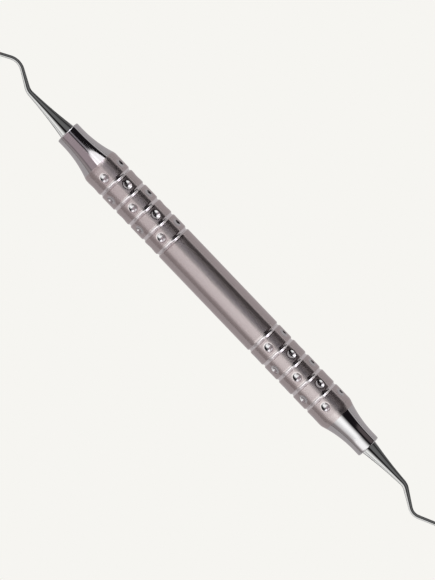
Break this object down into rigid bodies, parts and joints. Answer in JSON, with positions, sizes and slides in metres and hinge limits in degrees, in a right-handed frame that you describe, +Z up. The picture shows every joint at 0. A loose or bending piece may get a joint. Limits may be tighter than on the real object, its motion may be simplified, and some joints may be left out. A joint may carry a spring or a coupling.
{
  "type": "hand scaler",
  "caption": "Double-ended dental hand scaler: hollow steel handle with a grooved and dimpled grip at each end, and a bent shank with a hooked blade in each nose.",
  "frame": {"origin": "under the middle of the handle, at the line it rests on", "axes": "+X along the handle towards its right end, +Z up out of the surface it lies on; both shanks bend in the XY plane"},
  "size_m": [0.1677, 0.01, 0.01],
  "materials": {
    "satin_handle_steel": "fine satin",
    "grip_steel": "fine satin with bright cut dimples",
    "nose_steel": "polished",
    "tip_steel": "bright polished"
  },
  "bodies": {
    "root": {"centre_tube": "satin_handle_steel", "left_grip_sleeve": "grip_steel", "right_grip_sleeve": "grip_steel", "left_nose_cone": "nose_steel", "right_nose_cone": "nose_steel", "left_scaler_tip": "tip_steel", "right_scaler_tip": "tip_steel"}
  },
  "joints": []
}
